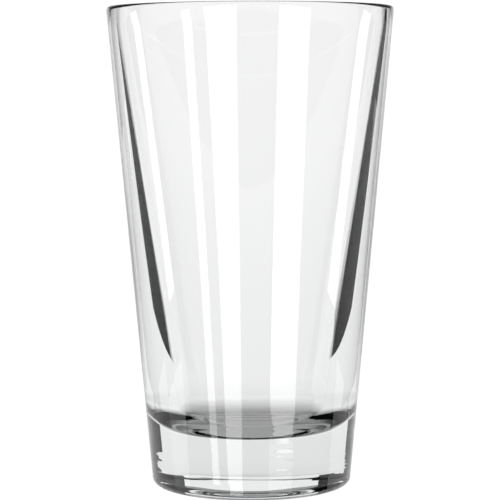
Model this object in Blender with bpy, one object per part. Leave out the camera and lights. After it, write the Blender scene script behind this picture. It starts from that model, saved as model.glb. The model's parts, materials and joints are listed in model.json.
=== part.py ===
"""A pint glass: one piece of clear pressed glass with straight sides, a thick base and an open top.

Metres, +Z up. The origin is the centre of the base, on the surface that the glass stands on.
"""

import math

import bpy

# Outside
HEIGHT = 0.149
OUTER_RADIUS_TOP = 0.0446
OUTER_RADIUS_BASE = 0.0310
HEEL_RADIUS = 0.0022

# Inside
INNER_RADIUS_TOP = 0.0424
INNER_RADIUS_FLOOR = 0.0220
FLOOR_HEIGHT = 0.0175
FLOOR_FILLET = 0.0110
FLOOR_DISH = 0.0004

# Underside
BEARING_RING_INNER_RADIUS = 0.0240
PUSH_UP_HEIGHT = 0.0018
PUSH_UP_SHOULDER = 0.0060

# Facets
SIDES = 88
CONE_ROWS = 5
RIM_STEPS = 8
HEEL_STEPS = 5
FILLET_STEPS = 9
FLOOR_STEPS = 3
PUSH_UP_STEPS = 5
RIM_ROUNDS = 20
JOIN_DISTANCE = 0.00001

GLASS_COLOUR = (0.93, 0.96, 0.95, 1.0)
GLASS_ROUGHNESS = 0.02
GLASS_IOR = 1.52


def clear_scene():
    for obj in list(bpy.data.objects):
        bpy.data.objects.remove(obj, do_unlink=True)


def outer_radius(z):
    """Radius of the straight outside at height z, before the rim and the heel are rounded."""
    return OUTER_RADIUS_BASE + (OUTER_RADIUS_TOP - OUTER_RADIUS_BASE) * z / HEIGHT


def inner_radius(z):
    """Radius of the straight inside at height z, before the floor fillet."""
    share = (z - FLOOR_HEIGHT) / (HEIGHT - FLOOR_HEIGHT)
    return INNER_RADIUS_FLOOR + (INNER_RADIUS_TOP - INNER_RADIUS_FLOOR) * share


def lean(radius_at):
    """Angle between the Z axis and a straight wall whose radius grows with height."""
    return math.atan2(radius_at(HEIGHT) - radius_at(0.0), HEIGHT)


def arc(centre, radius, start, end, steps):
    """Points on a circle in the r, z plane, both ends included. Angles are from +r towards +z."""
    angles = [start + (end - start) * i / steps for i in range(steps + 1)]
    return [(centre[0] + radius * math.cos(a), centre[1] + radius * math.sin(a)) for a in angles]


def rim_points():
    """The rounded lip, from the inside wall over the top to the outside wall."""
    outer_lean = lean(outer_radius)
    inner_lean = lean(inner_radius)
    # A circle that touches both walls and whose top is at HEIGHT. Its radius follows from the wall
    # thickness at its own centre, so it's settled in rounds.
    radius = (OUTER_RADIUS_TOP - INNER_RADIUS_TOP) / 2
    for _ in range(RIM_ROUNDS):
        centre_z = HEIGHT - radius
        outer_r = outer_radius(centre_z) - radius / math.cos(outer_lean)
        inner_r = inner_radius(centre_z) + radius / math.cos(inner_lean)
        radius += (outer_r - inner_r) / 2
    centre = (outer_r, centre_z)
    return arc(centre, radius, math.pi - inner_lean, -outer_lean, RIM_STEPS)


def heel_points():
    """The small round between the outside wall and the bearing ring."""
    outer_lean = lean(outer_radius)
    centre_r = outer_radius(HEEL_RADIUS) - HEEL_RADIUS / math.cos(outer_lean)
    return arc((centre_r, HEEL_RADIUS), HEEL_RADIUS, -outer_lean, -math.pi / 2, HEEL_STEPS)


def fillet_points():
    """The round between the floor and the inside wall, from the floor up."""
    inner_lean = lean(inner_radius)
    centre_z = FLOOR_HEIGHT + FLOOR_FILLET
    centre_r = inner_radius(centre_z) - FLOOR_FILLET / math.cos(inner_lean)
    return arc((centre_r, centre_z), FLOOR_FILLET, -math.pi / 2, -inner_lean, FILLET_STEPS)


def straight(start, end, rows):
    """Points strictly between two ends, so that each end is listed once."""
    shares = [i / rows for i in range(1, rows)]
    return [(start[0] + (end[0] - start[0]) * s, start[1] + (end[1] - start[1]) * s) for s in shares]


def floor_points(edge_r):
    """The slightly dished floor, from the centre to where the fillet starts."""
    points = []
    for i in range(FLOOR_STEPS):
        r = edge_r * i / FLOOR_STEPS
        points.append((r, FLOOR_HEIGHT - FLOOR_DISH * (1 - (r / edge_r) ** 2)))
    return points


def push_up_points():
    """The shallow hollow under the base, from the bearing ring's inner edge to the centre."""
    points = [(BEARING_RING_INNER_RADIUS, 0.0)]
    for i in range(1, PUSH_UP_STEPS + 1):
        across = i / PUSH_UP_STEPS
        rise = 0.5 - 0.5 * math.cos(math.pi * across)
        points.append((BEARING_RING_INNER_RADIUS - PUSH_UP_SHOULDER * across, PUSH_UP_HEIGHT * rise))
    points.append((0.0, PUSH_UP_HEIGHT))
    return points


def glass_profile():
    """Half section: the floor and the inside from the axis up, the rim, the outside down, the underside."""
    fillet = fillet_points()
    rim = rim_points()
    heel = heel_points()
    inside = floor_points(fillet[0][0]) + fillet + straight(fillet[-1], rim[0], CONE_ROWS)
    outside = straight(rim[-1], heel[0], CONE_ROWS) + heel
    return inside + rim + outside + push_up_points()


def glass_material():
    material = bpy.data.materials.new("clear_glass")
    material.use_nodes = True
    shader = material.node_tree.nodes["Principled BSDF"]
    shader.inputs["Base Color"].default_value = GLASS_COLOUR
    shader.inputs["Roughness"].default_value = GLASS_ROUGHNESS
    shader.inputs["Metallic"].default_value = 0.0
    shader.inputs["IOR"].default_value = GLASS_IOR
    shader.inputs["Transmission Weight"].default_value = 1.0
    return material


def spun_body(name, profile, material):
    """A closed solid of revolution about +Z from a half section whose ends lie on the axis."""
    mesh = bpy.data.meshes.new(name)
    edges = [(i, i + 1) for i in range(len(profile) - 1)]
    mesh.from_pydata([(r, 0.0, z) for r, z in profile], edges, [])
    mesh.materials.append(material)
    body = bpy.data.objects.new(name, mesh)
    bpy.context.scene.collection.objects.link(body)
    spin = body.modifiers.new("spin", "SCREW")
    spin.axis = "Z"
    spin.steps = SIDES
    spin.render_steps = SIDES
    spin.use_merge_vertices = True
    spin.merge_threshold = JOIN_DISTANCE
    spin.use_smooth_shade = True
    return body


clear_scene()
spun_body("glass_body", glass_profile(), glass_material())
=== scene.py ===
"""The pint glass's looks: a fine spun glass surface, and a bright-field studio round it."""

import json
import math

import bpy
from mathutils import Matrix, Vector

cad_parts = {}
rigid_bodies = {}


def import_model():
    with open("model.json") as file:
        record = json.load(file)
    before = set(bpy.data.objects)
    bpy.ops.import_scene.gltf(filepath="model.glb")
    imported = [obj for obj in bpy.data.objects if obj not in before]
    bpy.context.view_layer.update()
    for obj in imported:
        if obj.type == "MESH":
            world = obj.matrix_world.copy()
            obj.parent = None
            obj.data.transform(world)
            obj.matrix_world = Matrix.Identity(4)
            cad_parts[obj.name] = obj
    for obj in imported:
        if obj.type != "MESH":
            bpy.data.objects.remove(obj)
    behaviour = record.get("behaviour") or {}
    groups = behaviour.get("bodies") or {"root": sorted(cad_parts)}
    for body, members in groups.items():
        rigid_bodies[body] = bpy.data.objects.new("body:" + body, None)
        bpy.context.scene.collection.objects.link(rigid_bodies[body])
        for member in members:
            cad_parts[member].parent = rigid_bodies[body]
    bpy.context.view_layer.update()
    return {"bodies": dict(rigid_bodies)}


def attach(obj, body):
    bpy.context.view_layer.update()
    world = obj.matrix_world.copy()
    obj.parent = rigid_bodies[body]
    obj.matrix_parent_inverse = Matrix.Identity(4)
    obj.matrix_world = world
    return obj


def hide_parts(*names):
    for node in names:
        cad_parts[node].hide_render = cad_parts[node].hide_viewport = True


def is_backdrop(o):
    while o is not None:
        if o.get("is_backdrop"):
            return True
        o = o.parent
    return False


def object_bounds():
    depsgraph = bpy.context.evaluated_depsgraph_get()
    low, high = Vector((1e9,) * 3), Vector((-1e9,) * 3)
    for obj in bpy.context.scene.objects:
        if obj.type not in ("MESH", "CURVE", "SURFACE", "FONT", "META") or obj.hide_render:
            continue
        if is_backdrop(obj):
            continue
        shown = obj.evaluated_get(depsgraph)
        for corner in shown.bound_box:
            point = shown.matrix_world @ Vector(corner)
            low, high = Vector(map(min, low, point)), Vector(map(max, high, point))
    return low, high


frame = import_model()
BODY = next(iter(frame["bodies"]))

# The glass, in metres: the same driving dimensions as the CAD solid
HEIGHT = 0.149
OUTER_RADIUS_TOP = 0.0446
OUTER_RADIUS_BASE = 0.0310
HEEL_RADIUS = 0.0022
INNER_RADIUS_TOP = 0.0424
INNER_RADIUS_FLOOR = 0.0220
FLOOR_HEIGHT = 0.0175
FLOOR_FILLET = 0.0110
FLOOR_DISH = 0.0004
BEARING_RING_INNER_RADIUS = 0.0240
PUSH_UP_HEIGHT = 0.0018
PUSH_UP_SHOULDER = 0.0060
PUSH_UP_FLAT_RADIUS = 0.0120

# Facets: much finer than the CAD solid's
SIDES = 256
FILLET_STEPS = 24
RIM_STEPS = 28
HEEL_STEPS = 16
FLOOR_STEPS = 10
CONE_ROWS = 24
PUSH_UP_STEPS = 12
RIM_ROUNDS = 20
ON_AXIS = 1e-9


def outer_radius(z):
    """Radius of the straight outside at height z, before the rim and the heel are rounded."""
    return OUTER_RADIUS_BASE + (OUTER_RADIUS_TOP - OUTER_RADIUS_BASE) * z / HEIGHT


def inner_radius(z):
    """Radius of the straight inside at height z, before the floor fillet."""
    share = (z - FLOOR_HEIGHT) / (HEIGHT - FLOOR_HEIGHT)
    return INNER_RADIUS_FLOOR + (INNER_RADIUS_TOP - INNER_RADIUS_FLOOR) * share


def lean(radius_at):
    """Angle between the Z axis and a straight wall whose radius grows with height."""
    return math.atan2(radius_at(HEIGHT) - radius_at(0.0), HEIGHT)


def arc(centre, radius, start, end, steps):
    """Points on a circle in the r, z plane, both ends included. Angles are from +r towards +z."""
    angles = [start + (end - start) * i / steps for i in range(steps + 1)]
    return [(centre[0] + radius * math.cos(a), centre[1] + radius * math.sin(a)) for a in angles]


def straight(start, end, rows):
    """Points strictly between two ends, so that each end is listed once."""
    shares = [i / rows for i in range(1, rows)]
    return [(start[0] + (end[0] - start[0]) * s, start[1] + (end[1] - start[1]) * s) for s in shares]


def rim_points():
    """The rounded lip, from the inside wall over the top to the outside wall."""
    outer_lean = lean(outer_radius)
    inner_lean = lean(inner_radius)
    # A circle that touches both walls and whose top is at HEIGHT. Its radius follows from the wall
    # thickness at its own centre, so it's settled in rounds.
    radius = (OUTER_RADIUS_TOP - INNER_RADIUS_TOP) / 2
    for _ in range(RIM_ROUNDS):
        centre_z = HEIGHT - radius
        outer_r = outer_radius(centre_z) - radius / math.cos(outer_lean)
        inner_r = inner_radius(centre_z) + radius / math.cos(inner_lean)
        radius += (outer_r - inner_r) / 2
    return arc((outer_r, centre_z), radius, math.pi - inner_lean, -outer_lean, RIM_STEPS)


def heel_points():
    """The small round between the outside wall and the bearing ring."""
    outer_lean = lean(outer_radius)
    centre_r = outer_radius(HEEL_RADIUS) - HEEL_RADIUS / math.cos(outer_lean)
    return arc((centre_r, HEEL_RADIUS), HEEL_RADIUS, -outer_lean, -math.pi / 2, HEEL_STEPS)


def fillet_points():
    """The round between the floor and the inside wall, from the floor up."""
    inner_lean = lean(inner_radius)
    centre_z = FLOOR_HEIGHT + FLOOR_FILLET
    centre_r = inner_radius(centre_z) - FLOOR_FILLET / math.cos(inner_lean)
    return arc((centre_r, centre_z), FLOOR_FILLET, -math.pi / 2, -inner_lean, FILLET_STEPS)


def floor_points(edge_r):
    """The slightly dished inside floor, from the centre to where the fillet starts."""
    points = []
    for i in range(FLOOR_STEPS):
        r = edge_r * i / FLOOR_STEPS
        points.append((r, FLOOR_HEIGHT - FLOOR_DISH * (1 - (r / edge_r) ** 2)))
    return points


def push_up_points():
    """The shallow hollow under the base, from the bearing ring's inner edge to the centre."""
    points = [(BEARING_RING_INNER_RADIUS, 0.0)]
    for i in range(1, PUSH_UP_STEPS + 1):
        share = 0.5 - 0.5 * math.cos(math.pi * i / PUSH_UP_STEPS)
        radius = BEARING_RING_INNER_RADIUS - PUSH_UP_SHOULDER * i / PUSH_UP_STEPS
        points.append((radius, PUSH_UP_HEIGHT * share))
    points += [(PUSH_UP_FLAT_RADIUS, PUSH_UP_HEIGHT), (0.0, PUSH_UP_HEIGHT)]
    return points


def glass_profile():
    """Half section: the floor and the inside from the axis up, the rim, the outside down, the underside."""
    fillet = fillet_points()
    rim = rim_points()
    heel = heel_points()
    inside = floor_points(fillet[0][0]) + fillet + straight(fillet[-1], rim[0], CONE_ROWS)
    outside = straight(rim[-1], heel[0], CONE_ROWS) + heel
    return inside + rim + outside + push_up_points()


def spun_mesh(name, profile, sides):
    """A closed surface of revolution about +Z from a half section whose ends lie on the axis."""
    verts = []
    faces = []
    rings = []
    for r, z in profile:
        if r < ON_AXIS:
            rings.append([len(verts)])
            verts.append((0.0, 0.0, z))
            continue
        rings.append(list(range(len(verts), len(verts) + sides)))
        for k in range(sides):
            turn = 2 * math.pi * k / sides
            verts.append((r * math.cos(turn), r * math.sin(turn), z))
    for low, high in zip(rings, rings[1:]):
        for k in range(sides):
            n = (k + 1) % sides
            if len(low) == 1:
                faces.append((low[0], high[k], high[n]))
            elif len(high) == 1:
                faces.append((low[k], high[0], low[n]))
            else:
                faces.append((low[k], high[k], high[n], low[n]))
    mesh = bpy.data.meshes.new(name)
    mesh.from_pydata(verts, [], faces)
    mesh.validate()
    mesh.shade_smooth()
    return mesh


# Glass. The walls are gently wavy all over. The foot is rippled in fine level bands, and the ring that
# the glass stands on is scuffed.
GLASS_IOR = 1.52
GLASS_TINT = (0.62, 0.67, 0.66, 1)
GLASS_DENSITY = 7.0
WAVE_SCALE = (25.0, 25.0, 18.0)
WAVE_HEIGHT = 0.00008
RIPPLE_SCALE = (40.0, 40.0, 380.0)
RIPPLE_HEIGHT = 0.00005
RIPPLE_DETAIL = 1.5
RIPPLES_FULL_BELOW = 0.010
RIPPLES_GONE_ABOVE = 0.036
SCUFF_ROUGHNESS = 0.3
SCUFF_FULL_BELOW = 0.0001
SCUFF_GONE_ABOVE = 0.0004


def math_node(tree, operation, *values):
    """A Math node. A value that is a socket is linked, and a number is set."""
    node = tree.nodes.new("ShaderNodeMath")
    node.operation = operation
    for socket, value in zip(node.inputs, values):
        if isinstance(value, bpy.types.NodeSocket):
            tree.links.new(value, socket)
        else:
            socket.default_value = value
    return node.outputs[0]


def stretched_noise(tree, coordinates, scale, detail=0.0):
    """Noise from 0 to 1, with its own scale along each axis."""
    stretch = tree.nodes.new("ShaderNodeMapping")
    stretch.inputs["Scale"].default_value = scale
    noise = tree.nodes.new("ShaderNodeTexNoise")
    noise.inputs["Scale"].default_value = 1.0
    noise.inputs["Detail"].default_value = detail
    tree.links.new(coordinates, stretch.inputs["Vector"])
    tree.links.new(stretch.outputs[0], noise.inputs["Vector"])
    return noise.outputs["Fac"]


def fade_by_height(tree, height, full_below, gone_above, full):
    """full below one height, falling to 0 above another."""
    fade = tree.nodes.new("ShaderNodeMapRange")
    fade.inputs["From Min"].default_value = full_below
    fade.inputs["From Max"].default_value = gone_above
    fade.inputs["To Min"].default_value = full
    fade.inputs["To Max"].default_value = 0.0
    tree.links.new(height, fade.inputs["Value"])
    return fade.outputs["Result"]


def glass_material():
    material = bpy.data.materials.new("clear_glass")
    material.use_nodes = True
    tree = material.node_tree
    shader = tree.nodes["Principled BSDF"]
    shader.inputs["Base Color"].default_value = (1, 1, 1, 1)
    shader.inputs["IOR"].default_value = GLASS_IOR
    shader.inputs["Transmission Weight"].default_value = 1.0
    place = tree.nodes.new("ShaderNodeTexCoord").outputs["Object"]
    split = tree.nodes.new("ShaderNodeSeparateXYZ")
    tree.links.new(place, split.inputs[0])
    height = split.outputs["Z"]

    scuff = fade_by_height(tree, height, SCUFF_FULL_BELOW, SCUFF_GONE_ABOVE, SCUFF_ROUGHNESS)
    tree.links.new(scuff, shader.inputs["Roughness"])

    waves = math_node(tree, "MULTIPLY", stretched_noise(tree, place, WAVE_SCALE), WAVE_HEIGHT)
    ripple_height = fade_by_height(tree, height, RIPPLES_FULL_BELOW, RIPPLES_GONE_ABOVE, RIPPLE_HEIGHT)
    bands = stretched_noise(tree, place, RIPPLE_SCALE, RIPPLE_DETAIL)
    ripples = math_node(tree, "MULTIPLY", bands, ripple_height)
    bump = tree.nodes.new("ShaderNodeBump")
    bump.inputs["Distance"].default_value = 1.0
    tree.links.new(math_node(tree, "ADD", waves, ripples), bump.inputs["Height"])
    tree.links.new(bump.outputs[0], shader.inputs["Normal"])

    absorb = tree.nodes.new("ShaderNodeVolumeAbsorption")
    absorb.inputs["Color"].default_value = GLASS_TINT
    absorb.inputs["Density"].default_value = GLASS_DENSITY
    tree.links.new(absorb.outputs[0], tree.nodes["Material Output"].inputs["Volume"])
    return material


glass_mesh = spun_mesh("pint_glass", glass_profile(), SIDES)
glass = bpy.data.objects.new("pint_glass", glass_mesh)
bpy.context.scene.collection.objects.link(glass)
glass_mesh.materials.append(glass_material())
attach(glass, BODY)
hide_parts("glass_body")

# Camera: at the photograph's viewing angle, a little above the glass and looking slightly down
CAMERA_DISTANCE = 0.615
CAMERA_HEIGHT = 0.125
CAMERA_PITCH = math.radians(4.8)
CAMERA_ROLL = math.radians(0.18)
CAMERA_YAW = math.radians(0.009)
SENSOR_WIDTH = 36.0
FOCAL_LENGTH = 142.0
camera_data = bpy.data.cameras.new("camera")
camera = bpy.data.objects.new("camera", camera_data)
bpy.context.scene.collection.objects.link(camera)
camera.location = (0, -CAMERA_DISTANCE, CAMERA_HEIGHT)
camera.rotation_euler = (math.pi / 2 - CAMERA_PITCH, CAMERA_ROLL, CAMERA_YAW)
camera_data.sensor_width = SENSOR_WIDTH
camera_data.lens = FOCAL_LENGTH
bpy.context.scene.camera = camera


def emissive(name, strength):
    """A white light surface."""
    material = bpy.data.materials.new(name)
    material.use_nodes = True
    tree = material.node_tree
    tree.nodes.clear()
    out = tree.nodes.new("ShaderNodeOutputMaterial")
    emit = tree.nodes.new("ShaderNodeEmission")
    emit.inputs["Color"].default_value = (1, 1, 1, 1)
    emit.inputs["Strength"].default_value = strength
    tree.links.new(emit.outputs[0], out.inputs["Surface"])
    return material


def stage_object(name, verts, faces, material):
    """A stage piece that only the glass sees."""
    mesh = bpy.data.meshes.new(name)
    mesh.from_pydata(verts, [], faces)
    mesh.materials.append(material)
    obj = bpy.data.objects.new(name, mesh)
    bpy.context.scene.collection.objects.link(obj)
    obj.visible_camera = False
    obj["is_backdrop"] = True
    return obj


PANEL_COLUMNS = 12
PANEL_ROWS = 8


def curved_panel(name, radius, top, bottom, high, low, material, rounding=0.0, mirrored_only=False):
    """A panel on a circle round the glass, between two heights.

    top and bottom are its edges' bearings in degrees from +Y (behind the glass), + to the right.
    rounding is how far the lower corners are rounded up, in metres. A mirrored_only panel isn't seen
    through the glass.
    """
    columns = PANEL_COLUMNS
    rows = PANEL_ROWS
    verts = []
    faces = []
    for i in range(columns + 1):
        across = i / columns
        corner = rounding * (1 - math.sqrt(1 - (2 * across - 1) ** 2))
        for j in range(rows + 1):
            down = j / rows
            left = top[0] + (bottom[0] - top[0]) * down
            right = top[1] + (bottom[1] - top[1]) * down
            bearing = math.radians(left + (right - left) * across)
            z = high + (low + corner - high) * down
            verts.append((radius * math.sin(bearing), radius * math.cos(bearing), z))
    for i in range(columns):
        for j in range(rows):
            first = i * (rows + 1) + j
            faces.append((first, first + 1, first + rows + 2, first + rows + 1))
    panel = stage_object(name, verts, faces, material)
    panel.visible_transmission = not mirrored_only


def flat_card(name, near_low, near_high, far, height, material):
    """An upright card on the floor, from its near edge, which may slant, to its upright far edge."""
    verts = [(*near_low, 0.0), (*far, 0.0), (*far, height), (*near_high, height)]
    stage_object(name, verts, [(0, 1, 2, 3)], material)


# Behind the glass: a white backdrop, dimmer higher up
BACKDROP_RADIUS = 1.6
BACKDROP_EDGES = (-30.0, 30.0)
BACKDROP_MIDDLE = 0.36
BACKDROP_HIGH = 1.3
BACKDROP_STRENGTH = 1.02
UPPER_STRENGTH = 0.35
backdrop_light = emissive("backdrop_light", BACKDROP_STRENGTH)
upper_light = emissive("upper_light", UPPER_STRENGTH)
for name, high, low, light in [
    ("backdrop", BACKDROP_MIDDLE, 0.0, backdrop_light),
    ("backdrop_upper", BACKDROP_HIGH, BACKDROP_MIDDLE, upper_light),
]:
    curved_panel(name, BACKDROP_RADIUS, BACKDROP_EDGES, BACKDROP_EDGES, high, low, light)

# What the edges of the wall mirror behind the glass. The wall leans out, so it mirrors what is below the
# horizon, and the base, seen from higher up, mirrors what is lower still.
MIRRORED_EDGES = (-50.0, 50.0)
MIRRORED_LOW_EDGES = (-80.0, 80.0)
MIRRORED_MIDDLE = -0.36
MIRRORED_LOW = -3.0
MIRRORED_STRENGTH = 0.95
mirrored_light = emissive("mirrored_light", MIRRORED_STRENGTH)
for name, edges, high, low in [
    ("mirrored_upper", MIRRORED_EDGES, 0.0, MIRRORED_MIDDLE),
    ("mirrored_lower", MIRRORED_LOW_EDGES, MIRRORED_MIDDLE, MIRRORED_LOW),
]:
    curved_panel(name, BACKDROP_RADIUS, edges, edges, high, low, mirrored_light, mirrored_only=True)

# In front and at the sides: strip lights, which the outside of the wall mirrors as upright bands
STRIP_RADIUS = 2.0
STRIP_ROUNDING = 0.06
STRIP_STRENGTH = 4.0
LOW_STRIP_STRENGTH = 1.4
strip_light = emissive("strip_light", STRIP_STRENGTH)
low_strip_light = emissive("low_strip_light", LOW_STRIP_STRENGTH)
# Name, bearings of the edges at the top and at the bottom, heights, light, rounding of the lower corners
STRIPS = [
    ("left_front_box", (-169.6, -143.6), (-169.6, -156.0), -0.02, -1.0, strip_light, 0.0),
    ("left_front_strip", (-132.0, -124.5), (-144.5, -136.5), -0.02, -0.85, strip_light, 0.0),
    ("left_side_strip", (-78.6, -71.0), (-100.4, -92.8), 0.06, -0.42, strip_light, 0.0),
    ("left_low_box", (-104.0, -57.0), (-104.0, -57.0), -0.52, -1.2, low_strip_light, 0.0),
    ("right_side_strip", (69.1, 79.5), (89.6, 100.2), 0.06, -0.42, strip_light, 0.0),
    ("right_front_box", (132.3, 157.1), (132.3, 160.5), -0.02, -0.71, strip_light, STRIP_ROUNDING),
    ("right_low_box", (132.3, 160.5), (132.3, 160.5), -0.71, -1.0, low_strip_light, 0.0),
]
for name, top, bottom, high, low, light, rounding in STRIPS:
    curved_panel(name, STRIP_RADIUS, top, bottom, high, low, light, rounding, mirrored_only=True)

# Black cards close beside the glass, which the inside wall mirrors as two dark stripes
CARD_HEIGHT = 0.16
CARD_STRENGTH = 0.005
card = emissive("card", CARD_STRENGTH)
# Name, then where the near edge stands, where its top is, and where the far edge is
CARDS = [
    ("left_card", (-0.1154, 0.022), (-0.1381, 0.102), (-0.146, 0.130)),
    ("right_card", (0.1184, 0.022), (0.1279, 0.102), (0.134, 0.153)),
]
for name, near_low, near_high, far in CARDS:
    flat_card(name, near_low, near_high, far, CARD_HEIGHT, card)

# Floor: a plain white sweep that glows. Seen directly it is as white as the background. Seen through the
# glass, it shows a painted shadow under and round the foot.
WHITE = 1.05
FLOOR_SIZE = 40.0
FLOOR_DROP = 0.0001
# Distance from the axis, and how bright the floor is there: a painted shadow under and round the foot. The
# ramp covers the first metre.
PAINTED_FLOOR_SHADOW = [
    (0.029, 0.38),
    (0.034, 0.30),
    (0.042, 0.44),
    (0.053, 0.69),
    (0.067, 0.91),
    (0.120, 0.96),
    (0.900, 1.02),
]
ANYWHERE = 0.5
floor_material = bpy.data.materials.new("floor")
floor_material.use_nodes = True
tree = floor_material.node_tree
tree.nodes.clear()
place = tree.nodes.new("ShaderNodeTexCoord")
reach = tree.nodes.new("ShaderNodeVectorMath")
reach.operation = "LENGTH"
# The painted shadow: the floor's glow is dimmer close to the axis
shade = tree.nodes.new("ShaderNodeValToRGB")
while len(shade.color_ramp.elements) < len(PAINTED_FLOOR_SHADOW):
    shade.color_ramp.elements.new(ANYWHERE)
for stop, (radius, value) in zip(shade.color_ramp.elements, PAINTED_FLOOR_SHADOW):
    stop.position = radius
    stop.color = (value, value, value, 1)
glow = tree.nodes.new("ShaderNodeEmission")
path = tree.nodes.new("ShaderNodeLightPath")
level = tree.nodes.new("ShaderNodeMix")
level.inputs["B"].default_value = WHITE
tree.links.new(place.outputs["Object"], reach.inputs[0])
tree.links.new(reach.outputs["Value"], shade.inputs["Fac"])
tree.links.new(shade.outputs["Color"], level.inputs["A"])
tree.links.new(path.outputs["Is Camera Ray"], level.inputs["Factor"])
tree.links.new(level.outputs["Result"], glow.inputs["Strength"])
out = tree.nodes.new("ShaderNodeOutputMaterial")
tree.links.new(glow.outputs[0], out.inputs["Surface"])
bpy.ops.mesh.primitive_plane_add(size=FLOOR_SIZE, location=(0, 0, -FLOOR_DROP))
floor = bpy.context.object
floor.name = "floor"
floor.data.materials.append(floor_material)
floor.visible_glossy = False
floor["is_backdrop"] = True

# World: white where the camera sees it directly, and nearly black where the glass shows it
WORLD_DIM = 0.05
world = bpy.data.worlds.new("world")
bpy.context.scene.world = world
world.use_nodes = True
tree = world.node_tree
background = tree.nodes["Background"]
background.inputs["Color"].default_value = (1, 1, 1, 1)
path = tree.nodes.new("ShaderNodeLightPath")
level = tree.nodes.new("ShaderNodeMix")
level.inputs["A"].default_value = WORLD_DIM
level.inputs["B"].default_value = WHITE
tree.links.new(path.outputs["Is Camera Ray"], level.inputs["Factor"])
tree.links.new(level.outputs["Result"], background.inputs["Strength"])

bpy.context.scene.view_settings.view_transform = "Standard"

low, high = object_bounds()
